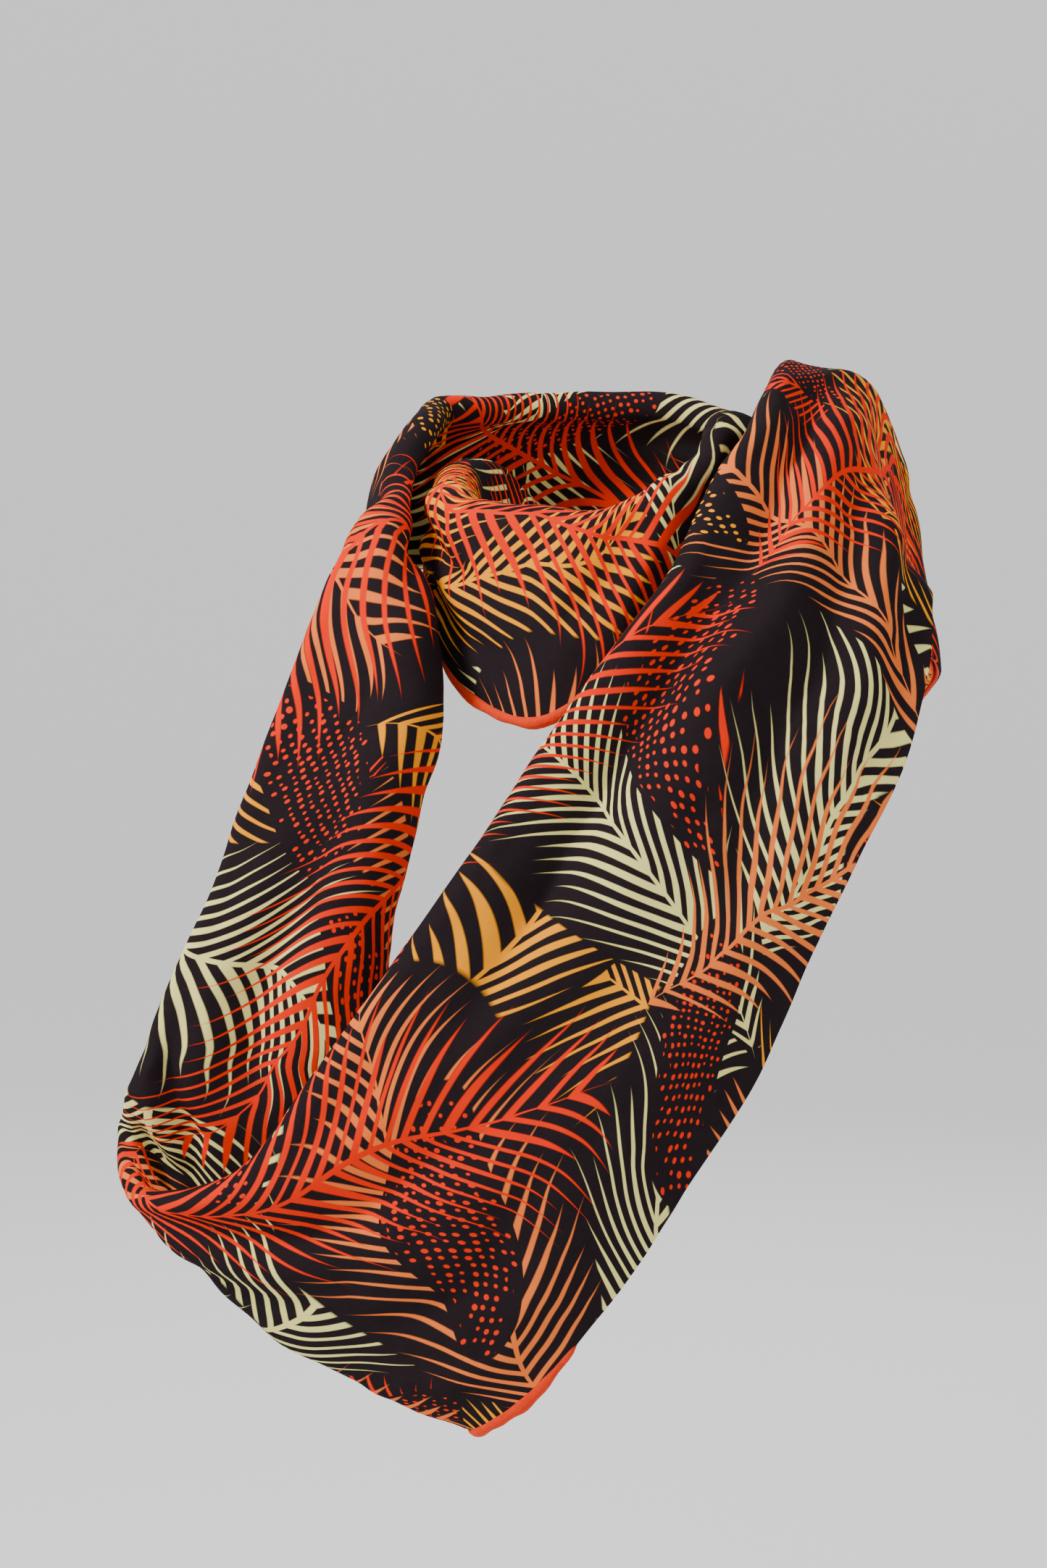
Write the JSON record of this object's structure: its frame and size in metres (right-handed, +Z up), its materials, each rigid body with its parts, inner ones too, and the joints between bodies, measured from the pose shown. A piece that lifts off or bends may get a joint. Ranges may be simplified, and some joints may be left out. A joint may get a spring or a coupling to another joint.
{
  "type": "infinity scarf",
  "caption": "Infinity scarf in its worn form: a folded loop of lined, printed cotton wound twice round the neck, its long loop hanging on the chest.",
  "frame": {"origin": "middle of the nape, where the fold of the inner back stretch lies against the neck", "axes": "+Z up, the wearer faces -Y, +X is the wearer's left"},
  "size_m": [0.2849, 0.305, 0.3808],
  "materials": {
    "printed_cotton": "matte, soft, printed",
    "lining": "matte, fuzzy fleece"
  },
  "bodies": {
    "root": {"left_strand": "printed_cotton", "bottom_turn": "printed_cotton", "front_panel": "printed_cotton", "shoulder_turn": "printed_cotton", "back_outer": "printed_cotton", "neck_wrap": "printed_cotton", "pinch": "printed_cotton", "back_inner": "printed_cotton", "lining_roll_neck": "lining", "lining_roll_tip": "lining"}
  },
  "joints": []
}
